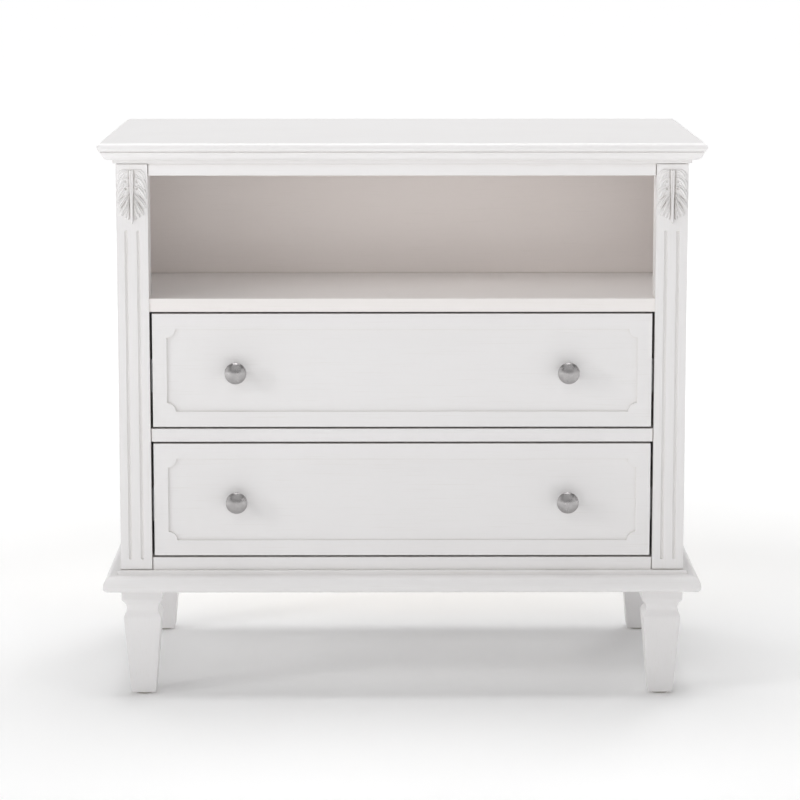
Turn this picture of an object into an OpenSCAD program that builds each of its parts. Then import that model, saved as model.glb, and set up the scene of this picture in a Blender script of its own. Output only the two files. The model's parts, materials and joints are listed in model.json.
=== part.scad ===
// Painted two-drawer nightstand with an open cubby, on four square tapered legs.
// Origin: on the floor, under the middle of the top. +X is the right-hand side as
// seen by a person facing the drawers, the drawers open towards -Y, and +Z is up.

/* [Overall] */
// Width over the top and over the base moulding
width = 800; // [720:10:900]
// Depth of the top, front to back
depth = 450; // [420:10:520]
// Height of the legs, floor to the underside of the base frame
leg_h = 148; // [120:1:200]

/* [Case] */
// Overhang of the top and of the base moulding past the posts
overhang = 22.5; // [22.5:0.5:30]
// Gap between the back of the case and the back edge of the top
back_overhang = 10; // [2:1:20]
// Side of the square corner posts
post_w = 42; // [38:1:48]
// Height of the base frame and of the moulding around it
base_h = 27; // [27:1:34]
// Height of the bottom rail
bottom_rail_h = 17; // [15:0.5:22]
// Height of the rail between the drawers
drawer_rail_h = 17.5; // [15:0.5:22]
// Thickness of the cubby shelf
shelf_t = 17.5; // [15:0.5:22]
// Clear height of the open cubby
cubby_h = 163.5; // [120:0.5:220]
// Clear depth of the open cubby behind the shelf's front edge
cubby_depth = 281; // [200:1:330]
// Height of the rail above the cubby
top_rail_h = 15.5; // [12:0.5:20]
// Thickness of the board under the top
sub_top_t = 17; // [16:0.5:20]
// Thickness of the top's rounded slab
slab_t = 12; // [10:0.5:16]

/* [Drawers] */
// Height of a drawer face
face_h = 152; // [140:1:180]
// Thickness of a drawer face
face_t = 20; // [18:0.5:24]
// Gap above and below a drawer face
face_gap = 2.75; // [2:0.25:4]
// Gap at each side of a drawer face
face_side_gap = 3.5; // [2:0.25:5]
// How far a drawer opens
drawer_travel = 340; // [240:10:340]

/* [Knobs] */
// Diameter of a knob
knob_d = 29; // [24:0.5:34]
// Distance of a knob from the middle of its drawer
knob_x = 221; // [150:1:260]
// Projection of a knob from its drawer face
knob_out = 23.5; // [20:0.5:24]
// Distance of a knob's axis below the middle of the drawer face
knob_drop = 1.5; // [0:0.5:6]

/* [Hidden] */
$fn = 64;
far = 2000;

// Plan: outside faces of the case, then the faces of its posts
case_x = width / 2 - overhang;
case_front = -depth / 2 + overhang;
case_back = depth / 2 - back_overhang;
post_in_x = case_x - post_w;
post_back_y = case_front + post_w;
rear_post_y = case_back - post_w;
rail_front = case_front + 1.5;
rail_d = 40;
seam = 1.2;
seam_d = 3;
back_t = 6;
back_y = case_back - 4 - back_t;
side_t = 12;
side_out_x = case_x - 3;
side_in_x = side_out_x - side_t;

// Levels, from the floor up
z_base = leg_h;
z_case = z_base + base_h;
z_lower = z_case + bottom_rail_h + face_gap;
z_divider = z_lower + face_h + face_gap;
z_upper = z_divider + drawer_rail_h + face_gap;
z_shelf = z_upper + face_h + face_gap;
z_cubby = z_shelf + shelf_t;
z_top_rail = z_cubby + cubby_h;
z_sub_top = z_top_rail + top_rail_h;
z_slab = z_sub_top + sub_top_t;
drawer_pitch = z_upper - z_lower;

// Legs, square in section
leg_w = 55;
leg_x = case_x - leg_w / 2;
leg_front_y = case_front + leg_w / 2;
leg_rear_y = case_back - leg_w / 2;
glide_t = 3;
capital_h = 28;
neck_w = 41.5;
shoulder_w = 50;
shoulder_z = leg_h - 39.5;
foot_w = 33;

// Slides, as long as the drawer travels and a little more
slide_t = 12.7;
slide_len = drawer_travel + 10;
slide_mid_len = slide_len - 20;
slide_gauge = 1.2;
packer_h = 60;

// Drawer box
box_x = post_in_x - slide_t - 0.3;
box_t = 12;
box_h = 120;
box_lift = 10.5;
box_front_y = rail_front + face_t;
box_len = slide_len + 3;
box_back_y = box_front_y + box_len;
groove_lift = 10;
groove_d = 6;
tray_t = 6;

// Slides stand a little behind the box front, at this height above the drawer face
slide_front_y = box_front_y + 3;
slide_lift = box_lift + 55;

// Screws and bolts
knob_screw_r = 2;
bolt_r = 4;
screw_r = 2.25;
hole_play = 0.05;

paint = [0.91, 0.90, 0.88];
ply = [0.80, 0.69, 0.53];
nickel = [0.62, 0.61, 0.59];
steel = [0.72, 0.73, 0.75];

// ---------- shared shapes ----------

// Box between two corners
module block(lo, hi) {
    translate(lo) cube(hi - lo);
}

// Copy of the children on the left (s = -1) or right (s = 1) side
module side(s) {
    if (s < 0) mirror([1, 0, 0]) children();
    else children();
}

// Profile standing in XZ, extruded along Y between two stations
module along_y(y0, y1) {
    translate([0, y1, 0]) rotate([90, 0, 0]) linear_extrude(y1 - y0) children();
}

// Profile standing in YZ (drawn with X as Y), extruded along X between two stations
module along_x(x0, x1) {
    translate([x0, 0, 0]) rotate([90, 0, 90]) linear_extrude(x1 - x0) children();
}

// Quarter of a disc that fills the quadrant given by the signs
module quarter(r, sx, sy) {
    intersection() {
        circle(r);
        translate([sx > 0 ? 0 : -r, sy > 0 ? 0 : -r]) square(r);
    }
}

// Prism that keeps the front moulding's share of the mitred corners
module front_mitre() {
    linear_extrude(far) polygon([
        [-case_x, case_front], [case_x, case_front],
        [case_x + 40, case_front - 40], [-case_x - 40, case_front - 40]
    ]);
}

// Prism that keeps the right-hand moulding's share
module side_mitre() {
    linear_extrude(far) polygon([
        [case_x, case_front], [case_x + 40, case_front - 40],
        [case_x + 40, case_back], [case_x, case_back]
    ]);
}

// Moulding across the front; its profile has X outwards from the case
module front_run() {
    intersection() {
        along_x(-case_x - 40, case_x + 40) translate([case_front, 0]) mirror([1, 0]) children();
        front_mitre();
    }
}

// Moulding down one side
module side_run(s) {
    side(s) intersection() {
        along_y(case_front - 40, case_back) translate([case_x, 0]) children();
        side_mitre();
    }
}

// ---------- profiles ----------

crown_h = sub_top_t - 1;
crown_reach = overhang - 3.5;
ovolo_r = 10;

// Moulding under the top: fillet, ovolo, narrow upper fillet
module crown_profile() {
    translate([0, z_slab - crown_h]) {
        square([4, crown_h]);
        translate([0, 4.5]) square([7.5, crown_h - 4.5]);
        translate([7.5, crown_h - 1.5]) quarter(ovolo_r, 1, -1);
        translate([0, crown_h - 1.5]) square([crown_reach, 1.5]);
    }
}

nose_r = 6;
torus_r = 13.5;
ledge = 5;

// Base moulding: rounded lower edge, wide quarter round and a narrow ledge
module base_profile() {
    translate([0, z_base]) {
        square([overhang - nose_r, nose_r + 1]);
        translate([0, nose_r]) square([overhang, base_h - ledge - torus_r - nose_r]);
        translate([overhang - nose_r, nose_r]) quarter(nose_r, 1, -1);
        square([overhang - torus_r, base_h - ledge]);
        translate([overhang - torus_r, base_h - ledge - torus_r]) quarter(torus_r, 1, 1);
        square([ledge, base_h]);
    }
}

neck_z = leg_h - capital_h;

// Half outline of a leg from the floor up: taper, shoulder, neck, hollowed capital
leg_half = [
    [foot_w / 2, glide_t], [shoulder_w / 2, shoulder_z - 2], [shoulder_w / 2, shoulder_z + 1],
    [shoulder_w / 2 - 1.2, shoulder_z + 4.5], [neck_w / 2 + 0.7, neck_z - 3.5],
    [neck_w / 2, neck_z], [neck_w / 2 + 0.5, neck_z + 3.5], [neck_w / 2 + 1.6, neck_z + 6.5],
    [neck_w / 2 + 3.2, neck_z + 9], [leg_w / 2 - 1.5, neck_z + 11.2],
    [leg_w / 2, neck_z + 13.5], [leg_w / 2, leg_h]
];

module leg_outline() {
    last = len(leg_half) - 1;
    polygon(concat(leg_half, [for (i = [last:-1:0]) [-leg_half[i][0], leg_half[i][1]]]));
}

// ---------- top ----------

module slab_profile(half, square_end) {
    r = slab_t / 2;
    translate([-half + r, z_slab]) square([2 * half - 2 * r, slab_t]);
    translate([-half + r, z_slab + r]) circle(r);
    if (square_end) translate([0, z_slab]) square([half, slab_t]);
    else translate([half - r, z_slab + r]) circle(r);
}

screw_xs = [-300, 0, 300];
top_screw_ys = [case_front + 30, back_y - 30];

module top_panel() {
    color(paint) difference() {
        intersection() {
            along_y(-depth / 2, depth / 2) slab_profile(width / 2, false);
            along_x(-width / 2, width / 2) slab_profile(depth / 2, true);
        }
        for (x = screw_xs, y = top_screw_ys)
            translate([x, y, z_slab - 1]) cylinder(r = screw_r + hole_play, h = 9);
    }
}

module top_moulding_front() { color(paint) front_run() crown_profile(); }
module top_moulding_left() { color(paint) side_run(-1) crown_profile(); }
module top_moulding_right() { color(paint) side_run(1) crown_profile(); }

// Horizontal board whose corners are notched round the four posts
module notched_board(z0, t, front) {
    block([-post_in_x, front, z0], [post_in_x, back_y, z0 + t]);
    block([-side_in_x, post_back_y, z0], [side_in_x, rear_post_y, z0 + t]);
}

module sub_top() {
    color(paint) difference() {
        notched_board(z_sub_top, sub_top_t, case_front);
        for (x = screw_xs, y = top_screw_ys) translate([x, y, z_sub_top - 1]) {
            cylinder(r = screw_r + hole_play, h = sub_top_t + 2);
            cylinder(r = 2 * screw_r + hole_play, h = 4);
        }
        back_screw_holes(z_sub_top + sub_top_t / 2);
    }
}

module top_screws() {
    color(steel) for (x = screw_xs, y = top_screw_ys) translate([x, y, z_sub_top]) {
        cylinder(r = screw_r, h = sub_top_t + 7);
        cylinder(r = 2 * screw_r, h = 3);
    }
}

// ---------- posts and leaves ----------

flute_r = 2.2;
flute_pitch = 16;
flute_z0 = z_case + 16.5;
flute_z1 = z_case + 456;
post_x = case_x - post_w / 2;

// Shadow gaps in a post's outer face, next to the mouldings above and below it
module seams(y0, y1) {
    for (z = [z_case, z_slab - crown_h - seam])
        block([case_x - seam_d, y0 - 1, z], [case_x + 1, y1 + 1, z + seam]);
}

module front_post(s) {
    color(paint) side(s) difference() {
        block([post_in_x, case_front, z_case], [case_x, post_back_y, z_slab]);
        seams(case_front, post_back_y);
        for (z = [z_case, z_slab - crown_h - seam])
            block([post_in_x - 1, case_front - 1, z],
                  [case_x + 1, case_front + seam_d, z + seam]);
        for (k = [-1, 1]) translate([post_x + k * flute_pitch / 2, case_front, flute_z0]) {
            cylinder(r = flute_r, h = flute_z1 - flute_z0);
            sphere(flute_r);
            translate([0, 0, flute_z1 - flute_z0]) sphere(flute_r);
        }
    }
}

module rear_post(s) {
    color(paint) side(s) difference() {
        block([post_in_x, rear_post_y, z_case], [case_x, case_back, z_slab]);
        seams(rear_post_y, case_back);
    }
}

module post_front_left() { front_post(-1); }
module post_front_right() { front_post(1); }
module post_rear_left() { rear_post(-1); }
module post_rear_right() { rear_post(1); }

leaf_z0 = z_case + 467;
leaf_h = 72;
leaf_half_w = 19.5;
leaf_t = 4.5;
lobe_r = 24;
rib_w = 5;

// Pointed lobe: the overlap of two discs, its stem at the origin and its tip along +X
module lobe(len) {
    half = len / 2;
    rise = sqrt(lobe_r * lobe_r - half * half);
    intersection() {
        translate([half, rise]) circle(lobe_r);
        translate([half, -rise]) circle(lobe_r);
    }
}

// Acanthus leaf in outline: a midrib that ends in a point, between lobes that hang outwards
module carved_leaf(s) {
    color(paint) side(s) translate([post_x, case_front, leaf_z0]) rotate([90, 0, 0])
        intersection() {
            translate([-leaf_half_w, 0, 0]) cube([2 * leaf_half_w, leaf_h, leaf_t]);
            union() {
                translate([-rib_w / 2, 10, 0]) cube([rib_w, leaf_h, leaf_t]);
                linear_extrude(leaf_t) polygon([[0, 0], [rib_w, 12], [-rib_w, 12]]);
                for (k = [0, 1], i = [0:2]) mirror([k, 0, 0])
                    translate([-1, leaf_h - 10 - i * 16, 0]) rotate(-40 - 8 * i)
                        linear_extrude(leaf_t) lobe(32);
                for (k = [0, 1]) mirror([k, 0, 0]) translate([8.5, leaf_h - 10, 0])
                    cylinder(r = 9, h = leaf_t);
            }
        }
}

module carved_leaf_left() { carved_leaf(-1); }
module carved_leaf_right() { carved_leaf(1); }

// ---------- case ----------

module side_panel(s) {
    color(paint) side(s)
        block([side_in_x, post_back_y, z_case], [side_out_x, rear_post_y, z_slab]);
}

module side_panel_left() { side_panel(-1); }
module side_panel_right() { side_panel(1); }

// Rail across the front, with a shadow gap at each end
module front_rail(z0, h, d) {
    color(paint) difference() {
        block([-post_in_x, rail_front, z0], [post_in_x, rail_front + d, z0 + h]);
        for (s = [-1, 1]) side(s)
            block([post_in_x - seam, rail_front - 1, z0 - 1],
                  [post_in_x + 1, rail_front + seam_d, z0 + h + 1]);
    }
}

module top_rail() { front_rail(z_top_rail, top_rail_h, 22); }
module drawer_rail() { front_rail(z_divider, drawer_rail_h, rail_d); }
module bottom_rail() { front_rail(z_case, bottom_rail_h, rail_d); }

// Holes for the back panel's screws in the rear edge of a board centred on level z
module back_screw_holes(z) {
    for (x = screw_xs) translate([x, back_y - 18, z]) rotate([-90, 0, 0])
        cylinder(r = 1.5 + hole_play, h = 30);
}

module shelf() {
    color(paint) difference() {
        notched_board(z_shelf, shelf_t, rail_front);
        back_screw_holes(z_shelf + shelf_t / 2);
    }
}

cubby_back_y = rail_front + cubby_depth;

module cubby_back() {
    color(paint) block([-side_in_x, cubby_back_y, z_cubby], [side_in_x, cubby_back_y + 6, z_sub_top]);
}

bottom_t = 12;

module bottom_panel() {
    y0 = rail_front + rail_d;
    color(paint) difference() {
        union() {
            block([-post_in_x, y0, z_case], [post_in_x, back_y, z_case + bottom_t]);
            block([-side_in_x, post_back_y, z_case], [side_in_x, rear_post_y, z_case + bottom_t]);
        }
        back_screw_holes(z_case + bottom_t / 2);
    }
}

back_screw_zs = [z_case + bottom_t / 2, z_shelf + shelf_t / 2, z_sub_top + sub_top_t / 2];

module back_panel() {
    color(ply) difference() {
        block([-post_in_x, back_y, z_case], [post_in_x, back_y + back_t, z_slab]);
        for (z = back_screw_zs) back_screw_holes(z);
    }
}

module back_screws() {
    color(steel) for (z = back_screw_zs, x = screw_xs) translate([x, back_y + back_t, z]) {
        rotate([90, 0, 0]) cylinder(r = 1.5, h = back_t + 14);
        rotate([-90, 0, 0]) cylinder(r = 3, h = 1.8);
    }
}

// ---------- base ----------

module base_moulding_front() { color(paint) front_run() base_profile(); }
module base_moulding_left() { color(paint) side_run(-1) base_profile(); }
module base_moulding_right() { color(paint) side_run(1) base_profile(); }

base_rail_w = 60;
bolt_z0 = leg_h - 45;
bolt_len = 68;

// Children at the four leg positions
module at_legs() {
    for (x = [-leg_x, leg_x], y = [leg_front_y, leg_rear_y]) translate([x, y, 0]) children();
}

module base_rail(lo, hi) {
    color(paint) difference() {
        block([lo[0], lo[1], z_base], [hi[0], hi[1], z_case]);
        at_legs() translate([0, 0, bolt_z0]) cylinder(r = bolt_r + hole_play, h = bolt_len + 0.5);
    }
}

module base_rail_front() {
    base_rail([-case_x, case_front], [case_x, case_front + base_rail_w]);
}

module base_rail_rear() {
    base_rail([-case_x, case_back - base_rail_w], [case_x, case_back]);
}

module base_rail_side(s) {
    side(s) base_rail([case_x - base_rail_w, case_front + base_rail_w],
                      [case_x, case_back - base_rail_w]);
}

module base_rail_left() { base_rail_side(-1); }
module base_rail_right() { base_rail_side(1); }

module leg(sx, y) {
    color(paint) translate([sx * leg_x, y, 0]) difference() {
        intersection() {
            along_y(-leg_w / 2, leg_w / 2) leg_outline();
            along_x(-leg_w / 2, leg_w / 2) leg_outline();
        }
        translate([0, 0, bolt_z0 - 0.5]) cylinder(r = bolt_r + hole_play, h = bolt_len);
    }
}

module leg_front_left() { leg(-1, leg_front_y); }
module leg_front_right() { leg(1, leg_front_y); }
module leg_rear_left() { leg(-1, leg_rear_y); }
module leg_rear_right() { leg(1, leg_rear_y); }

module leg_bolts() {
    color(steel) at_legs() translate([0, 0, bolt_z0]) cylinder(r = bolt_r, h = bolt_len);
}

module foot_glides() {
    color([0.25, 0.25, 0.26]) at_legs() cylinder(d = 24, h = glide_t);
}

// ---------- drawers ----------

recess_x = 19;
recess_z = 20.5;
recess_d = 2.7;
scoop_r = 11.5;
face_x = post_in_x - face_side_gap;
knob_z = z_lower + face_h / 2 - knob_drop;
screw_y0 = box_front_y + box_t;

// The children at the upper drawer's level, or left at the lower drawer's
module at_drawer(upper) {
    translate([0, 0, upper ? drawer_pitch : 0]) children();
}

// Shallow field in the drawer face, its corners scooped inwards
module recess_outline() {
    x1 = face_x - recess_x;
    z0 = z_lower + recess_z;
    z1 = z_lower + face_h - recess_z;
    difference() {
        translate([-x1, z0]) square([2 * x1, z1 - z0]);
        for (x = [-x1, x1], z = [z0, z1]) translate([x, z]) circle(scoop_r);
    }
}

module knob_holes() {
    for (s = [-1, 1]) translate([s * knob_x, 0, knob_z]) rotate([90, 0, 0])
        cylinder(r = knob_screw_r + hole_play, h = far, center = true);
}

module drawer_face(upper) {
    color(paint) at_drawer(upper) difference() {
        block([-face_x, rail_front, z_lower], [face_x, rail_front + face_t, z_lower + face_h]);
        along_y(rail_front - 1, rail_front + recess_d) recess_outline();
        knob_holes();
    }
}

box_z0 = z_lower + box_lift;
tray_z0 = box_z0 + groove_lift;

// Space taken by the drawer's bottom, which sits in grooves
module tray() {
    block([-box_x + box_t - groove_d, box_front_y + box_t - groove_d, tray_z0],
          [box_x - box_t + groove_d, box_back_y, tray_z0 + tray_t]);
}

module drawer_bottom(upper) { color(ply) at_drawer(upper) tray(); }

module drawer_box_front(upper) {
    color(ply) at_drawer(upper) difference() {
        block([-box_x + box_t, box_front_y, box_z0],
              [box_x - box_t, box_front_y + box_t, box_z0 + box_h]);
        tray();
        knob_holes();
    }
}

module drawer_side(upper, s) {
    color(ply) at_drawer(upper) difference() {
        side(s) block([box_x - box_t, box_front_y, box_z0], [box_x, box_back_y, box_z0 + box_h]);
        tray();
    }
}

module drawer_back(upper) {
    color(ply) at_drawer(upper)
        block([-box_x + box_t, box_back_y - box_t, tray_z0 + tray_t],
              [box_x - box_t, box_back_y, box_z0 + box_h - 5]);
}

// Turned knob: a round base, a waist and a domed mushroom head
module knob(upper, s) {
    head_r = knob_d / 2;
    rim = 3;
    dome = 5.5;
    dome_r = (head_r * head_r + dome * dome) / (2 * dome);
    color(nickel) at_drawer(upper)
        translate([s * knob_x, rail_front + recess_d, knob_z]) rotate([90, 0, 0]) difference() {
            union() {
                cylinder(r = 8.5, h = 3.2);
                cylinder(r = 5, h = 14);
                translate([0, 0, 10.5]) cylinder(r1 = 5, r2 = head_r - 0.8, h = 6);
                intersection() {
                    translate([0, 0, knob_out + recess_d - dome_r]) sphere(dome_r);
                    translate([0, 0, 16.5]) cylinder(r = head_r, h = rim + dome + 5);
                }
            }
            translate([0, 0, -1]) cylinder(r = knob_screw_r + hole_play, h = 12);
        }
}

// Machine screws from inside the drawer box into the knobs
module knob_screws(upper) {
    tip = screw_y0 - (rail_front + recess_d) + 10;
    color(steel) at_drawer(upper) for (s = [-1, 1])
        translate([s * knob_x, screw_y0, knob_z]) rotate([90, 0, 0]) {
            cylinder(r = knob_screw_r, h = tip);
            translate([0, 0, -2.5]) cylinder(r = 4.2, h = 2.5);
        }
}

// ---------- slides ----------

// Channel in section: its web stands at web_x and its flanges reach to tip_x
module channel(web_x, tip_x, half_h) {
    toward = tip_x > web_x ? 1 : -1;
    x0 = min(web_x, tip_x);
    translate([toward > 0 ? web_x : web_x - slide_gauge, -half_h])
        square([slide_gauge, 2 * half_h]);
    for (s = [-1, 1]) translate([x0, s > 0 ? half_h - slide_gauge : -half_h])
        square([abs(tip_x - web_x), slide_gauge]);
}

// A pair of channels, left and right, for one drawer; X counts inwards from the case side
module slide_pair(upper, len, web_x, tip_x, half_h) {
    color(steel) at_drawer(upper) for (s = [-1, 1]) side(s)
        along_y(slide_front_y, slide_front_y + len)
            translate([post_in_x, z_lower + slide_lift]) mirror([1, 0])
                channel(web_x, tip_x, half_h);
}

module slide_outers(upper) { slide_pair(upper, slide_len, 0, 9.5, 22.5); }
module slide_middles(upper) { slide_pair(upper, slide_mid_len, 4.2, 10.4, 17.5); }
module slide_inners(upper) { slide_pair(upper, slide_len, slide_t + 0.3, 7, 12.2); }

module slide_packers() {
    color(ply) for (upper = [false, true], s = [-1, 1])
        at_drawer(upper) side(s)
            block([post_in_x, post_back_y, z_lower + slide_lift - packer_h / 2],
                  [side_in_x, rear_post_y, z_lower + slide_lift + packer_h / 2]);
}

module upper_slide_outers() { slide_outers(true); }
module lower_slide_outers() { slide_outers(false); }
module upper_slide_middles() { slide_middles(true); }
module lower_slide_middles() { slide_middles(false); }

module upper_drawer_face() { drawer_face(true); }
module upper_drawer_box_front() { drawer_box_front(true); }
module upper_drawer_side_left() { drawer_side(true, -1); }
module upper_drawer_side_right() { drawer_side(true, 1); }
module upper_drawer_back() { drawer_back(true); }
module upper_drawer_bottom() { drawer_bottom(true); }
module upper_knob_left() { knob(true, -1); }
module upper_knob_right() { knob(true, 1); }
module upper_knob_screws() { knob_screws(true); }
module upper_slide_inners() { slide_inners(true); }

module lower_drawer_face() { drawer_face(false); }
module lower_drawer_box_front() { drawer_box_front(false); }
module lower_drawer_side_left() { drawer_side(false, -1); }
module lower_drawer_side_right() { drawer_side(false, 1); }
module lower_drawer_back() { drawer_back(false); }
module lower_drawer_bottom() { drawer_bottom(false); }
module lower_knob_left() { knob(false, -1); }
module lower_knob_right() { knob(false, 1); }
module lower_knob_screws() { knob_screws(false); }
module lower_slide_inners() { slide_inners(false); }

// ---------- the assembly ----------

top_panel();
top_moulding_front();
top_moulding_left();
top_moulding_right();
sub_top();
post_front_left();
post_front_right();
post_rear_left();
post_rear_right();
carved_leaf_left();
carved_leaf_right();
side_panel_left();
side_panel_right();
top_rail();
drawer_rail();
bottom_rail();
shelf();
cubby_back();
bottom_panel();
back_panel();
base_moulding_front();
base_moulding_left();
base_moulding_right();
base_rail_front();
base_rail_rear();
base_rail_left();
base_rail_right();
leg_front_left();
leg_front_right();
leg_rear_left();
leg_rear_right();
foot_glides();
leg_bolts();
top_screws();
back_screws();
slide_packers();
upper_slide_outers();
lower_slide_outers();
upper_slide_middles();
lower_slide_middles();
upper_drawer_face();
upper_drawer_box_front();
upper_drawer_side_left();
upper_drawer_side_right();
upper_drawer_back();
upper_drawer_bottom();
upper_knob_left();
upper_knob_right();
upper_knob_screws();
upper_slide_inners();
lower_drawer_face();
lower_drawer_box_front();
lower_drawer_side_left();
lower_drawer_side_right();
lower_drawer_back();
lower_drawer_bottom();
lower_knob_left();
lower_knob_right();
lower_knob_screws();
lower_slide_inners();
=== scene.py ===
import json
import math

import bmesh
import bpy
import numpy as np
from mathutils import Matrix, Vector


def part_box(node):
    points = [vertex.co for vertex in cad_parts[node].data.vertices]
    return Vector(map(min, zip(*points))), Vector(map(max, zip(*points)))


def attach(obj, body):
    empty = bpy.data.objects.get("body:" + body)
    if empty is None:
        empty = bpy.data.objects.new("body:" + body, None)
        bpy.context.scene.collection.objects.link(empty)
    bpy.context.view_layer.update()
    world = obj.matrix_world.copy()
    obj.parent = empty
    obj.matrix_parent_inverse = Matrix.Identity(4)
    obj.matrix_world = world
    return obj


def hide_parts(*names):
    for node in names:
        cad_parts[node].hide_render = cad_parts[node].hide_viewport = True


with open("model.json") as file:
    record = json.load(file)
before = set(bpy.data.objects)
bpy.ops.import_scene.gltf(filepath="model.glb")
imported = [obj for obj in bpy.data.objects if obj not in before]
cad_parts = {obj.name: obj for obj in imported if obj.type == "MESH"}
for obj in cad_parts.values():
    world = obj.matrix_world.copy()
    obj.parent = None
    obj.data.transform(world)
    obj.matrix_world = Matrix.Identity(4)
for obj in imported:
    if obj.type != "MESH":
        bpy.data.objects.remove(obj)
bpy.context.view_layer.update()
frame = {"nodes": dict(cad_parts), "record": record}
NODES = frame["nodes"]
BODIES = frame["record"]["behaviour"]["bodies"]
SLOTS = {s["node"]: s["material_slot"] for s in frame["record"]["subparts"]}
MM = 0.001


def body_of(name):
    """Name of the CAD body that a node belongs to."""
    return next(body for body, members in BODIES.items() if name in members)


# ---------- shader building ----------

class Shader:
    """One material's node tree, with short calls for the nodes that the finishes share."""

    def __init__(self, name):
        self.material = bpy.data.materials.new(name)
        self.material.use_nodes = True
        self.tree = self.material.node_tree
        self.surface = self.tree.nodes["Principled BSDF"]
        self.place = self.node("ShaderNodeTexCoord").outputs["Object"]

    def node(self, kind, inputs=None, **settings):
        """Adds a node; inputs maps a socket's name or number to a value or to another socket."""
        made = self.tree.nodes.new(kind)
        for key, value in settings.items():
            setattr(made, key, value)
        for key, value in (inputs or {}).items():
            self.feed(made.inputs[key], value)
        return made

    def feed(self, socket, value):
        """Gives an input socket a value, or links it to an output socket."""
        if isinstance(value, bpy.types.NodeSocket):
            self.tree.links.new(value, socket)
        else:
            socket.default_value = value

    def stretched(self, scale):
        """Object coordinates, scaled along each axis."""
        return self.node("ShaderNodeMapping", {"Vector": self.place, "Scale": scale}).outputs[0]

    def noise(self, vector, scale, detail=4.0, roughness=0.55, distortion=0.0):
        """Value of a noise texture, about 0.2 to 0.8."""
        made = self.node("ShaderNodeTexNoise", {
            "Vector": vector, "Scale": scale, "Detail": detail,
            "Roughness": roughness, "Distortion": distortion})
        return made.outputs["Fac"]

    def ramp(self, value, low, high, to_low=0.0, to_high=1.0):
        """Value mapped from one range to another, and clamped."""
        made = self.node("ShaderNodeMapRange", {
            "Value": value, "From Min": low, "From Max": high,
            "To Min": to_low, "To Max": to_high})
        return made.outputs[0]

    def math(self, operation, a, b):
        """Result of a math node for two values."""
        return self.node("ShaderNodeMath", {0: a, 1: b}, operation=operation).outputs[0]

    def mix(self, share, first, second):
        """Colour mix; share 0 gives the first colour."""
        made = self.node("ShaderNodeMix", {0: share, 6: first, 7: second}, data_type="RGBA")
        return made.outputs[2]

    def bump(self, height, distance, strength=1.0, under=None):
        """Normal disturbed by a height, on top of another normal if one is given."""
        inputs = {"Height": height, "Distance": distance, "Strength": strength}
        if under is not None:
            inputs["Normal"] = under
        return self.node("ShaderNodeBump", inputs).outputs[0]

    def finish(self, colour, roughness, normal, **uniform):
        """Wires the surface; uniform settings go straight onto the shader's own sockets."""
        self.feed(self.surface.inputs["Base Color"], colour)
        self.feed(self.surface.inputs["Roughness"], roughness)
        self.feed(self.surface.inputs["Normal"], normal)
        for key, value in uniform.items():
            self.surface.inputs[key.replace("_", " ")].default_value = value
        return self.material


def along(axis, long, cross):
    """Scale vector that is small along the grain axis and large across it."""
    return tuple(long if letter == axis else cross for letter in "xyz")


# ---------- finishes ----------
# Scales are in cycles per metre and bump distances in metres; colours are linear.

def painted_wood(name, axis, tint, shade, pore_and_shade_tone=(0.60, 0.55, 0.48, 1), depth=0.45):
    """Satin paint over close-grained wood: brush strokes and faint pores run along one axis,
    and painted shade of the given depth darkens the creases wherever ambient occlusion finds them."""
    s = Shader(name)
    strokes = s.noise(s.stretched(along(axis, 5, 260)), 1.0, detail=5, roughness=0.6)
    pores = s.noise(s.stretched(along(axis, 14, 900)), 1.0, detail=3, distortion=0.4)
    pits = s.ramp(pores, 0.30, 0.42)
    peel = s.noise(s.place, 420, detail=2)
    cloud = s.noise(s.place, 3.2, detail=3)
    shade_variation = s.noise(s.stretched(along(axis, 9, 60)), 1.0, detail=6, roughness=0.7)
    # Painted shade: ambient occlusion darkens the paint in creases and at joints, by an amount that
    # noise varies
    crease = s.node("ShaderNodeAmbientOcclusion", {"Distance": 0.008}, samples=4)
    painted_crease_shade = s.math("MULTIPLY", s.ramp(crease.outputs["AO"], 0.30, 0.85, 1.0, 0.0),
                  s.ramp(shade_variation, 0.35, 0.70, depth * 0.3, depth))
    base = s.mix(s.ramp(cloud, 0.3, 0.7), tint, shade)
    streaked = s.mix(s.ramp(strokes, 0.25, 0.75, 0.0, 0.10), base, shade)
    pored = s.mix(s.ramp(pits, 0.0, 1.0, 0.10, 0.0), streaked, pore_and_shade_tone)
    colour = s.mix(painted_crease_shade, pored, pore_and_shade_tone)
    rough = s.math("ADD", s.ramp(cloud, 0.3, 0.7, 0.33, 0.40),
                   s.ramp(strokes, 0.25, 0.75, -0.03, 0.06))
    normal = s.bump(strokes, 0.10 * MM, 0.55)
    normal = s.bump(pits, 0.06 * MM, 0.5, normal)
    normal = s.bump(peel, 0.03 * MM, 0.4, normal)
    return s.finish(colour, rough, normal, Specular_IOR_Level=0.45, Coat_Weight=0.12,
                    Coat_Roughness=0.22)


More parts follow.
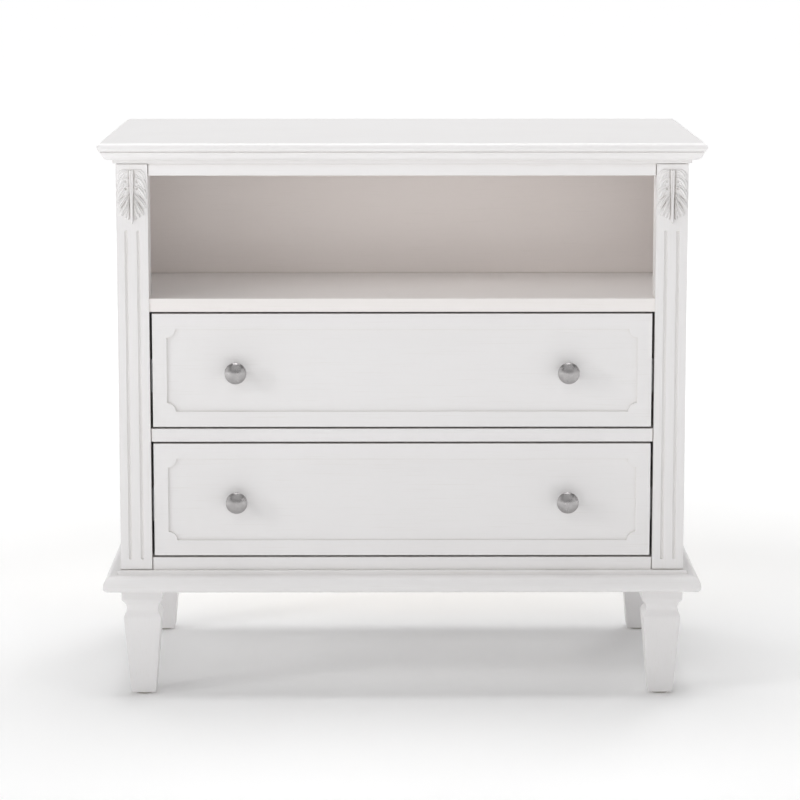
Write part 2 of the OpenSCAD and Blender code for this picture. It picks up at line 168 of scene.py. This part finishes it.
def bare_wood(name, axis, pale, dark):
    """Clear-finished light wood with growth lines, streaks and small pores along one axis."""
    s = Shader(name)
    wander = s.noise(s.stretched(along(axis, 1.6, 9)), 1.0, detail=3, distortion=0.8)
    figure = s.noise(s.stretched(along(axis, 1.1, 16)), 1.0, detail=2, distortion=0.6)
    bands = s.math("SINE", s.math("MULTIPLY", figure, 34.0), 0.0)
    streaks = s.noise(s.stretched(along(axis, 6, 420)), 1.0, detail=6, roughness=0.65)
    pores = s.noise(s.stretched(along(axis, 30, 1500)), 1.0, detail=2)
    pits = s.ramp(pores, 0.28, 0.40)
    share = s.math("MULTIPLY", s.ramp(bands, -0.9, 1.0, 0.0, 0.85), s.ramp(wander, 0.3, 0.7))
    base = s.mix(share, pale, dark)
    streaked = s.mix(s.ramp(streaks, 0.35, 0.75, 0.0, 0.45), base, dark)
    colour = s.mix(s.ramp(pits, 0.0, 1.0, 0.35, 0.0), streaked, (0.22, 0.13, 0.07, 1))
    rough = s.ramp(streaks, 0.2, 0.8, 0.46, 0.62)
    normal = s.bump(streaks, 0.08 * MM, 0.6)
    normal = s.bump(pits, 0.08 * MM, 0.7, normal)
    return s.finish(colour, rough, normal, Specular_IOR_Level=0.4)


def satin_metal(name, colour, dull, rough_low, rough_high):
    """Satin plated metal: fine scratches, handling marks and a slightly mottled plating."""
    s = Shader(name)
    fine = s.noise(s.stretched((1400, 112, 700)), 1.0, detail=3)
    smudge = s.noise(s.place, 90, detail=5, roughness=0.6)
    grit = s.noise(s.place, 1800, detail=2)
    tone = s.mix(s.ramp(smudge, 0.35, 0.7), colour, dull)
    rough = s.math("ADD", s.ramp(smudge, 0.3, 0.7, rough_low, rough_high),
                   s.ramp(fine, 0.3, 0.7, -0.03, 0.05))
    normal = s.bump(fine, 0.02 * MM, 0.5)
    normal = s.bump(grit, 0.01 * MM, 0.4, normal)
    return s.finish(tone, rough, normal, Metallic=1.0)


def zinc_plate(name):
    """Zinc-plated pressed steel, with the plating's faint spangle and drawing lines."""
    s = Shader(name)
    cells = s.node("ShaderNodeTexVoronoi", {"Vector": s.place, "Scale": 130.0},
                   feature="SMOOTH_F1")
    haze = s.noise(s.place, 40, detail=5, roughness=0.6)
    drawn = s.noise(s.stretched(along("y", 12, 1600)), 1.0, detail=4)
    spangle = s.math("ADD", s.ramp(cells.outputs["Distance"], 0.1, 0.7, 0.0, 0.35),
                     s.ramp(haze, 0.3, 0.7, 0.0, 0.65))
    tone = s.mix(spangle, (0.66, 0.68, 0.70, 1), (0.58, 0.595, 0.61, 1))
    rough = s.math("ADD", s.ramp(spangle, 0.0, 1.0, 0.28, 0.34),
                   s.ramp(drawn, 0.3, 0.7, -0.03, 0.05))
    return s.finish(tone, rough, s.bump(drawn, 0.03 * MM, 0.6), Metallic=1.0)


def moulded_plastic(name, tone, dark):
    """Grained nylon, scuffed pale where it has slid on floors."""
    s = Shader(name)
    grain = s.noise(s.place, 900, detail=3)
    scuffs = s.noise(s.stretched((300, 60, 300)), 1.0, detail=5)
    colour = s.mix(s.ramp(scuffs, 0.35, 0.75), dark, tone)
    return s.finish(colour, s.ramp(scuffs, 0.3, 0.7, 0.45, 0.65), s.bump(grain, 0.05 * MM, 0.7))


PAINT_TINT = (0.875, 0.862, 0.862, 1)
PAINT_SHADE = (0.85, 0.834, 0.832, 1)
# Brighter, warmer copies of the same white paint for the cubby's back and its shelf: painted light
# that lifts the shade inside the open cubby
CUBBY_BACK_PAINTED_LIGHT_TINT = (0.93, 0.868, 0.835, 1)
CUBBY_BACK_PAINTED_LIGHT_DARK = (0.91, 0.842, 0.805, 1)
SHELF_PAINTED_LIGHT_TINT = (0.92, 0.888, 0.870, 1)
SHELF_PAINTED_LIGHT_DARK = (0.90, 0.865, 0.845, 1)
PALE_WOOD = (0.70, 0.56, 0.39, 1)
DARK_WOOD = (0.56, 0.41, 0.25, 1)

PAINT = {axis: painted_wood("paint_grain_" + axis, axis, PAINT_TINT, PAINT_SHADE) for axis in "xyz"}
# The cubby's back and shelf take the brightened copies of the paint, painted light
CUBBY_PAINTED_LIGHT = {"cubby_back": painted_wood("paint_cubby_painted_light", "x", CUBBY_BACK_PAINTED_LIGHT_TINT, CUBBY_BACK_PAINTED_LIGHT_DARK),
              "shelf": painted_wood("paint_shelf_painted_light", "x", SHELF_PAINTED_LIGHT_TINT, SHELF_PAINTED_LIGHT_DARK)}
# Paint for the carved leaves: a darker crease tone and deeper painted shade in the carving's hollows
CARVED_PAINT = painted_wood("paint_carved", "z", PAINT_TINT, PAINT_SHADE,
                            pore_and_shade_tone=(0.40, 0.36, 0.32, 1), depth=0.8)
WOOD = {axis: bare_wood("wood_grain_" + axis, axis, PALE_WOOD, DARK_WOOD) for axis in "xyz"}
NICKEL = satin_metal("satin_nickel", (0.46, 0.447, 0.448, 1), (0.39, 0.378, 0.378, 1), 0.24, 0.34)
ZINC = zinc_plate("zinc_plate")
PLASTIC = moulded_plastic("glide_plastic", (0.52, 0.50, 0.47, 1), (0.42, 0.40, 0.37, 1))


def longest_axis(name):
    """Axis along which a board's grain runs: its longest side."""
    lo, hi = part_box(name)
    return max("xyz", key=lambda letter: (hi - lo)["xyz".index(letter)])


def finish_for(name):
    """Material of a CAD node, by its material slot and by the way its grain runs."""
    slot = SLOTS[name]
    # The cubby's back and shelf get paint brightened as painted light
    if name in CUBBY_PAINTED_LIGHT:
        return CUBBY_PAINTED_LIGHT[name]
    if slot == "white_paint":
        return PAINT[longest_axis(name)]
    if slot == "plain_wood":
        return WOOD[longest_axis(name)]
    return {"zinc_steel": ZINC, "glide_plastic": PLASTIC}[slot]


# ---------- CAD nodes that stay ----------

# Width of the rounded edges, by material slot
EDGE_ROUND = {"white_paint": 0.7 * MM, "plain_wood": 0.5 * MM, "zinc_steel": 0.25 * MM,
              "glide_plastic": 0.6 * MM}
# Wider rounding on the drawer faces, narrower on the pieces with thin shadow gaps
ROUND_BY_NAME = {"drawer_face": 1.2 * MM, "_rail": 0.45 * MM, "post_": 0.45 * MM}
WELD_REACH = 0.01 * MM


def soften(piece, width):
    """Joins a mesh's split corners and rounds its sharp edges."""
    weld = piece.modifiers.new("weld", "WELD")
    weld.merge_threshold = WELD_REACH
    flats = piece.modifiers.new("whole_flats", "DECIMATE")
    flats.decimate_type = "DISSOLVE"
    flats.angle_limit = math.radians(0.4)
    bevel = piece.modifiers.new("round_edges", "BEVEL")
    bevel.width = width
    bevel.segments = 3
    bevel.limit_method = "ANGLE"
    bevel.angle_limit = math.radians(32)
    normals = piece.modifiers.new("even_shading", "WEIGHTED_NORMAL")
    normals.weight = 80


def dress(name):
    """Gives a CAD node its finish and its rounded edges."""
    piece = NODES[name]
    piece.data.materials.clear()
    piece.data.materials.append(finish_for(name))
    piece.data.polygons.foreach_set("use_smooth", [True] * len(piece.data.polygons))
    special = [width for part, width in ROUND_BY_NAME.items() if part in name]
    soften(piece, special[0] if special else EDGE_ROUND[SLOTS[name]])


# ---------- pieces made here ----------

def new_piece(name, verts, faces, material, nodes):
    """Mesh piece that stands for CAD nodes and rides on their body."""
    mesh = bpy.data.meshes.new(name)
    mesh.from_pydata(verts, [], faces)
    mesh.validate()
    mesh.polygons.foreach_set("use_smooth", [True] * len(mesh.polygons))
    mesh.materials.append(material)
    piece = bpy.data.objects.new(name, mesh)
    bpy.context.scene.collection.objects.link(piece)
    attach(piece, body_of(nodes[0]))
    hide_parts(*nodes)
    return piece


def lathe(profile, centre, steps):
    """Vertices and faces of a profile of (radius, out) points turned round an axis along -Y.
    A radius of zero at either end closes the form there."""
    verts, rings = [], []
    for radius, out in profile:
        if radius == 0:
            rings.append([len(verts)])
            verts.append(centre + Vector((0, -out, 0)))
            continue
        rings.append(list(range(len(verts), len(verts) + steps)))
        for k in range(steps):
            turn = 2 * math.pi * k / steps
            verts.append(centre + Vector((radius * math.cos(turn), -out, radius * math.sin(turn))))
    faces = []
    for a, b in zip(rings, rings[1:]):
        for k in range(steps):
            n = (k + 1) % steps
            if len(a) == 1:
                faces.append((a[0], b[n], b[k]))
            elif len(b) == 1:
                faces.append((a[k], a[n], b[0]))
            else:
                faces.append((a[k], a[n], b[n], b[k]))
    return verts, faces


def arc(cx, cy, radius, start, end, steps):
    """Points along a circular arc, in degrees."""
    turns = [math.radians(start + (end - start) * k / steps) for k in range(steps + 1)]
    return [(cx + radius * math.cos(t), cy + radius * math.sin(t)) for t in turns]


def knob_profile(radius, reach):
    """Outline of a mushroom knob from the drawer face out to the middle of its dome."""
    rim_r = 2.1 * MM
    rim_y = reach - 7.2 * MM
    dome = 7.2 * MM - rim_r * math.sin(math.radians(50))
    edge_r = radius - rim_r + rim_r * math.cos(math.radians(50))
    dome_r = (edge_r ** 2 + dome ** 2) / (2 * dome)
    span = math.degrees(math.asin(edge_r / dome_r))
    foot = [(0, 0), (8.5 * MM, 0)] + arc(7.3 * MM, 1.4 * MM, 1.2 * MM, 0, 80, 5)
    step = [(6.4 * MM, 2.7 * MM), (6.2 * MM, 3.2 * MM)]
    waist = arc(9.6 * MM, 8.2 * MM, 5.0 * MM, 245, 130, 12)
    flare = [(radius - 5.0 * MM, rim_y - 2.3 * MM)]
    rim = arc(radius - rim_r, rim_y, rim_r, -70, 50, 9)
    top = arc(0, reach - dome_r, dome_r, 90 - span, 90, 14)[1:-1]
    return foot + step + waist + flare + rim + top + [(0, reach)]


KNOB_STEPS = 72


def make_knob(name):
    """Turned knob with a domed head, standing on the drawer's sunk field."""
    lo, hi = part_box(name)
    centre = Vector(((lo.x + hi.x) / 2, hi.y, (lo.z + hi.z) / 2))
    verts, faces = lathe(knob_profile((hi.x - lo.x) / 2, hi.y - lo.y), centre, KNOB_STEPS)
    new_piece("turned_" + name, verts, faces, NICKEL, [name])


# ---------- carved leaves ----------

LEAF_STEP = 0.34 * MM
# Fingers on one side of the midrib, in millimetres from the leaf's tip: where each leaves the
# rib, where it ends, how far its middle is bowed, then its half width and its height
LEAF_FINGERS = (
    ((2.6, 69.0), (16.0, 60.0), (0.8, 4.0), 4.4, 2.7),
    ((2.6, 60.0), (17.0, 47.5), (1.2, 4.6), 5.0, 2.9),
    ((2.6, 49.5), (17.4, 34.5), (1.6, 3.4), 4.8, 3.3),
    ((2.6, 41.0), (17.4, 22.0), (0.6, 0.6), 3.4, 3.9),
    ((2.6, 37.0), (14.4, 12.0), (-0.8, -0.4), 3.1, 4.0),
    ((2.6, 31.5), (9.2, 9.0), (-0.9, -0.6), 2.4, 3.6),
    ((2.2, 25.0), (5.4, 6.0), (-0.6, -0.4), 1.8, 3.0),
)
LEAF_EYES = ((7.2, 56.0), (7.4, 46.5))
# Thickness behind the carving, points along a finger, and the height that counts as carved
LEAF_BACK = 0.8 * MM
FINGER_STEPS = 90
CARVED_OVER = 0.04


def finger_relief(x, z, root, tip, bow, width, height):
    """Height of one leaf finger: a swelling lobe with a raised vein between two flutes."""
    nearest = np.full(x.shape, 9.0)
    share = np.zeros(x.shape)
    for t in np.linspace(0, 1, FINGER_STEPS):
        arch = math.sin(math.pi * t)
        px = root[0] + (tip[0] - root[0]) * t + bow[0] * arch
        pz = root[1] + (tip[1] - root[1]) * t + bow[1] * arch
        half = width * (0.35 + 0.9 * t ** 0.9) * math.sqrt(max(1 - t ** 6, 0)) + 0.25
        near = np.hypot(x - px, z - pz) / half
        closer = near < nearest
        nearest[closer] = near[closer]
        share[closer] = t
    shell = np.clip(1 - nearest ** 2, 0, 1) ** 0.5
    flute = 0.40 * np.exp(-((nearest - 0.42) / 0.17) ** 2)
    vein = 0.28 * np.exp(-(nearest / 0.16) ** 2) * (1 - share)
    rise = 0.70 + 0.30 * np.sin(np.pi * share ** 0.8)
    return np.where(nearest < 1, height * (shell * (1 - flute) + vein) * rise, 0)


def leaf_web(x, z, tall):
    """Low body of the leaf, which fills the gaps between the fingers and the midrib."""
    upper = 13.5 * np.sqrt(np.clip(1 - ((z - 46) / (tall - 47)) ** 2, 0, 1))
    lower = 13.5 - (46 - z) * 0.24
    edge = np.where(z > 46, upper, lower)
    inside = np.clip((edge - x) / 2.5, 0, 1) * np.clip((z - 8) / 4, 0, 1)
    return 1.7 * np.sqrt(inside) * (0.75 + 0.25 * np.cos(x * 0.9))


def leaf_relief(x, z, tall):
    """Height of the whole carving, in millimetres; x runs from the midrib and z from the tip."""
    x = np.abs(x)
    relief = leaf_web(x, z, tall)
    for finger in LEAF_FINGERS:
        relief = np.maximum(relief, finger_relief(x, z, *finger))
    for eye_x, eye_z in LEAF_EYES:
        eye = np.hypot(x - eye_x, (z - eye_z) * 0.8) / 1.4
        relief = relief * (1 - 0.9 * np.exp(-eye ** 4))
    rib = x / (1.9 + 1.1 * np.clip(z / tall, 0, 1)) / np.clip(0.35 + z / 6, 0, 1)
    relief = relief * (1 - 0.85 * np.exp(-((rib - 1.15) / 0.16) ** 2))
    groove = 0.30 * np.exp(-(rib / 0.30) ** 2) * np.clip((z - 22) / 20, 0, 1)
    ends = np.sqrt(np.clip(z / 4, 0, 1)) * np.clip((tall - z) / 1.5, 0, 1)
    crest = 4.4 * np.clip(1 - rib ** 4, 0, 1) ** 0.5 * (1 - groove)
    return np.where(rib < 1, crest * ends, relief)


def fill_corner_contacts(cells):
    """Adds a cell wherever two cells touch only at a corner, so that the leaf stays solid."""
    for flipped in (cells, cells[:, ::-1]):
        beside, above = flipped[:-1, 1:], flipped[1:, :-1]
        beside |= flipped[:-1, :-1] & flipped[1:, 1:] & ~beside & ~above


def smoothed(height):
    """Heights averaged a little with their neighbours; the border stays as it is."""
    smooth = height.copy()
    smooth[1:-1, 1:-1] = (height[1:-1, 1:-1] * 4 + height[:-2, 1:-1] + height[2:, 1:-1]
                          + height[1:-1, :-2] + height[1:-1, 2:]) / 8
    return smooth


def carved_cells(height):
    """Grid cells that the leaf covers: those with a carved corner."""
    carved = height > CARVED_OVER
    cells = carved[:-1, :-1] | carved[1:, :-1] | carved[:-1, 1:] | carved[1:, 1:]
    fill_corner_contacts(cells)
    return cells


def make_leaf(name):
    """Acanthus leaf carved in low relief, with its back sunk a little into the post."""
    lo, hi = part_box(name)
    half, tall = (hi.x - lo.x) / 2 / MM, (hi.z - lo.z) / MM
    across = int(round(2 * half * MM / LEAF_STEP))
    up = int(round(tall * MM / LEAF_STEP))
    x, z = np.meshgrid(np.linspace(-half, half, across + 1), np.linspace(0, tall, up + 1))
    height = leaf_relief(x, z, tall)
    height[[0, -1], :] = 0
    height[:, [0, -1]] = 0
    height = smoothed(height)
    cells = carved_cells(height)
    row = across + 1
    corners = [(j * row + i, j * row + i + 1, (j + 1) * row + i + 1, (j + 1) * row + i)
               for j in range(up) for i in range(across) if cells[j, i]]
    used = sorted({index for corner in corners for index in corner})
    place = {index: k for k, index in enumerate(used)}
    middle = (lo.x + hi.x) / 2
    front_x, front_z, front_h = x.ravel(), z.ravel(), height.ravel()
    verts = [Vector((middle + front_x[k] * MM, hi.y - front_h[k] * MM, lo.z + front_z[k] * MM))
             for k in used]
    faces = [tuple(place[index] for index in corner) for corner in corners]
    piece = new_piece("acanthus_" + name, verts, faces, CARVED_PAINT, [name])
    body = piece.modifiers.new("body", "SOLIDIFY")
    body.thickness = LEAF_BACK
    body.offset = -1


# ---------- screws ----------

# Head radius and height of each group of screws
SCREW_HEADS = {"back_screws": (3.0 * MM, 1.8 * MM), "upper_knob_screws": (4.2 * MM, 2.5 * MM),
               "lower_knob_screws": (4.2 * MM, 2.5 * MM)}
HEAD_STEPS = 32
# Outline of a head, as shares of its radius and of its height
HEAD_OUTLINE = ((1.0, 0.0), (1.0, 0.35), (0.90, 0.72), (0.62, 0.93), (0.30, 1.0))
# Cross recess, as shares too: its arms' reach, the reach between them, and its floor's height
RECESS_ARM, RECESS_WAIST, RECESS_FLOOR = 0.24, 0.12, 0.35


def head_ring(mesh, centre, radii, rise):
    """Ring of vertices round an axis along Y, one for each radius, at a height over the centre."""
    made = []
    for k, radius in enumerate(radii):
        turn = 2 * math.pi * k / len(radii)
        place = Vector((radius * math.cos(turn), rise, radius * math.sin(turn)))
        made.append(mesh.verts.new(centre + place))
    return made


def pan_head(centre, radius, height):
    """Low domed screw head with a cross recess, facing +Y."""
    mesh = bmesh.new()
    loops = [head_ring(mesh, centre, [share * radius] * HEAD_STEPS, rise * height)
             for share, rise in HEAD_OUTLINE]
    arms = [math.cos(8 * math.pi * k / HEAD_STEPS) > -0.2 for k in range(HEAD_STEPS)]
    recess = [(RECESS_ARM if arm else RECESS_WAIST) * radius for arm in arms]
    loops.append(head_ring(mesh, centre, recess, RECESS_FLOOR * height))
    for a, b in zip(loops, loops[1:]):
        for k in range(HEAD_STEPS):
            n = (k + 1) % HEAD_STEPS
            mesh.faces.new((a[k], a[n], b[n], b[k]))
    mesh.faces.new(loops[0])
    mesh.faces.new(loops[-1])
    bmesh.ops.recalc_face_normals(mesh, faces=mesh.faces)
    return mesh


def islands(name):
    """Boxes of the separate solids of a CAD node that is a group of identical pieces."""
    work = bmesh.new()
    work.from_mesh(NODES[name].data)
    bmesh.ops.remove_doubles(work, verts=work.verts, dist=WELD_REACH)
    seen, boxes = set(), []
    for seed in work.verts:
        if seed in seen:
            continue
        group, edge = [], [seed]
        seen.add(seed)
        while edge:
            vert = edge.pop()
            group.append(vert.co.copy())
            for link in vert.link_edges:
                other = link.other_vert(vert)
                if other not in seen:
                    seen.add(other)
                    edge.append(other)
        boxes.append((Vector([min(c[i] for c in group) for i in range(3)]),
                      Vector([max(c[i] for c in group) for i in range(3)])))
    work.free()
    return boxes


def add_shank(mesh, centre, radius, far_y):
    """Tapered shank from a screw head's seat to the screw's other end."""
    shank = bmesh.ops.create_cone(mesh, cap_ends=True, segments=24, radius1=radius,
                                  radius2=radius * 0.9, depth=abs(far_y - centre.y))
    for vert in shank["verts"]:
        vert.co = Vector((centre.x + vert.co.x, (far_y + centre.y) / 2 - vert.co.z,
                          centre.z + vert.co.y))


def make_screw_heads(name, head_r, head_h):
    """Domed heads with shanks for a group of screws whose heads face +Y."""
    total = bmesh.new()
    for lo, hi in islands(name):
        centre = Vector(((lo.x + hi.x) / 2, hi.y - head_h, (lo.z + hi.z) / 2))
        screw = pan_head(centre, head_r, head_h)
        add_shank(screw, centre, head_r / 2, lo.y)
        part = bpy.data.meshes.new("part")
        screw.to_mesh(part)
        total.from_mesh(part)
        screw.free()
        bpy.data.meshes.remove(part)
    bmesh.ops.recalc_face_normals(total, faces=total.faces)
    piece = new_piece("pan_" + name, [], [], ZINC, [name])
    total.to_mesh(piece.data)
    total.free()


# ---------- the studio ----------

FLOOR_REACH = 70.0
# The floor's glow near the nightstand and far from it, and the distances between which it grows
GLOW_NEAR, GLOW_FAR = 0.10, 0.84
GLOW_START, GLOW_END = 0.9, 3.6
MIDDLE = (0, 0, 0.4)


def make_floor():
    """Pale light table: it glows a little near the nightstand and more further away."""
    mesh = bpy.data.meshes.new("studio_floor")
    corners = [(x, y, 0) for x, y in ((-1, -1), (1, -1), (1, 1), (-1, 1))]
    mesh.from_pydata([Vector(c) * FLOOR_REACH for c in corners], [], [(0, 1, 2, 3)])
    s = Shader("floor_paper")
    cloud = s.noise(s.place, 1.5, detail=4)
    fibre = s.noise(s.place, 240, detail=3)
    colour = s.mix(s.ramp(cloud, 0.3, 0.7), (0.95, 0.95, 0.95, 1), (0.93, 0.93, 0.93, 1))
    away = s.node("ShaderNodeVectorMath", {0: s.place}, operation="LENGTH").outputs["Value"]
    mesh.materials.append(s.finish(colour, s.ramp(fibre, 0.2, 0.8, 0.75, 0.9),
                                   s.bump(fibre, 0.05 * MM, 0.4), Specular_IOR_Level=0.1,
                                   Emission_Color=(1, 1, 1, 1)))
    s.feed(s.surface.inputs["Emission Strength"],
           s.ramp(away, GLOW_START, GLOW_END, GLOW_NEAR, GLOW_FAR))
    floor = bpy.data.objects.new("studio_floor", mesh)
    bpy.context.scene.collection.objects.link(floor)


def aim(thing, target):
    """Turns a lamp or camera so that it looks at a point."""
    thing.rotation_euler = (Vector(target) - thing.location).to_track_quat("-Z", "Y").to_euler()


def softbox(name, place, size, power, target=MIDDLE):
    """Square soft lamp with white light."""
    lamp = bpy.data.lights.new(name, "AREA")
    lamp.shape = "SQUARE"
    lamp.size = size
    lamp.energy = power
    holder = bpy.data.objects.new(name, lamp)
    holder.location = place
    bpy.context.scene.collection.objects.link(holder)
    aim(holder, target)
    return holder


def reflector(name, place, size, glow):
    """Card that only glossy surfaces see: it shapes the reflections on the knobs."""
    half_w, half_h = size[0] / 2, size[1] / 2
    mesh = bpy.data.meshes.new(name)
    mesh.from_pydata([(-half_w, -half_h, 0), (half_w, -half_h, 0), (half_w, half_h, 0),
                      (-half_w, half_h, 0)], [], [(0, 1, 2, 3)])
    s = Shader(name)
    tone = s.mix(s.noise(s.place, 1.2), (0.03, 0.03, 0.03, 1), (0.05, 0.05, 0.05, 1))
    mesh.materials.append(s.finish(tone, 0.9, s.bump(s.noise(s.place, 200), 0.1 * MM),
                                   Emission_Color=(1, 1, 1, 1), Emission_Strength=glow))
    card = bpy.data.objects.new(name, mesh)
    card.location = place
    bpy.context.scene.collection.objects.link(card)
    aim(card, MIDDLE)
    for kind in ("camera", "diffuse", "shadow", "transmission"):
        setattr(card, "visible_" + kind, False)


def light_horizon():
    """World that is white at the horizon, and dim overhead where the lamps take over."""
    world = bpy.data.worlds.new("studio")
    bpy.context.scene.world = world
    world.use_nodes = True
    nodes, links = world.node_tree.nodes, world.node_tree.links
    split = nodes.new("ShaderNodeSeparateXYZ")
    fade = nodes.new("ShaderNodeMapRange")
    links.new(nodes.new("ShaderNodeTexCoord").outputs["Generated"], split.inputs[0])
    links.new(split.outputs["Z"], fade.inputs["Value"])
    for socket, value in (("From Min", 0.06), ("From Max", 0.34), ("To Min", 1.0), ("To Max", 0.12)):
        fade.inputs[socket].default_value = value
    sky = nodes["Background"]
    sky.inputs["Color"].default_value = (1.0, 1.0, 1.0, 1)
    links.new(fade.outputs[0], sky.inputs["Strength"])


def light_cubby():
    """Weak strip lamp under the top rail, which lifts the shade on the open shelf."""
    lo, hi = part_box("top_rail")
    place = Vector((0.08, hi.y + 0.03, lo.z - 0.004))
    strip = softbox("cubby_strip", place, 0.60, 0.115, place - Vector((0, 0, 1)))
    strip.data.shape = "RECTANGLE"
    strip.data.size_y = 0.05
    strip.visible_camera = False
    return strip


def light_studio():
    """Two keys from the left, soft fill from all round, and cards for the metal."""
    light_horizon()
    unreflected = [light_cubby(),
                   softbox("key_left", (-4.0, -2.1, 1.8), 0.9, 35),
                   softbox("key_high", (-3.2, -3.6, 3.0), 1.2, 22),
                   softbox("fill_front", (-0.6, -4.6, 3.7), 1.8, 17),
                   softbox("rim_back", (2.2, 4.6, 3.0), 2.0, 40)]
    for lamp in unreflected:
        lamp.visible_glossy = False
    softbox("fill_right", (3.4, -2.6, 1.9), 1.3, 4)
    softbox("overhead", (0.0, 0.3, 4.6), 3.0, 142)
    reflector("card_high", (0.0, -4.4, 4.6), (9.0, 4.6), 0.62)
    reflector("card_level", (0.0, -6.6, 1.9), (9.0, 3.4), 0.36)
    reflector("card_left", (-5.0, -1.4, 2.4), (3.6, 3.2), 0.85)
    reflector("card_right", (5.0, -1.4, 2.4), (3.6, 3.2), 0.5)


CAMERA_PLACE = (-0.018, -4.141, 1.062)
CAMERA_PITCH = -8.69
CAMERA_TURN = -0.22
CAMERA_LENS = 134.9
CAMERA_SHIFT = -0.05


def make_camera():
    """Long lens, a little above the top and looking slightly down, as furniture is shot."""
    data = bpy.data.cameras.new("camera")
    data.sensor_width = 36
    data.lens = CAMERA_LENS
    data.shift_y = CAMERA_SHIFT
    data.clip_start, data.clip_end = 0.05, 60
    camera = bpy.data.objects.new("camera", data)
    camera.location = CAMERA_PLACE
    camera.rotation_euler = (math.radians(90 + CAMERA_PITCH), 0, math.radians(CAMERA_TURN))
    bpy.context.scene.collection.objects.link(camera)
    bpy.context.scene.camera = camera


# ---------- build ----------

def build(name):
    """Models a CAD node anew where it needs it, and finishes the node itself otherwise."""
    if name.startswith("carved_leaf"):
        make_leaf(name)
    elif name.endswith(("knob_left", "knob_right")):
        make_knob(name)
    elif name in SCREW_HEADS:
        make_screw_heads(name, *SCREW_HEADS[name])
    else:
        dress(name)


make_camera()
make_floor()
light_studio()
bpy.context.scene.view_settings.view_transform = "Standard"
bpy.context.scene.view_settings.look = "None"
for node_name in sorted(NODES):
    build(node_name)
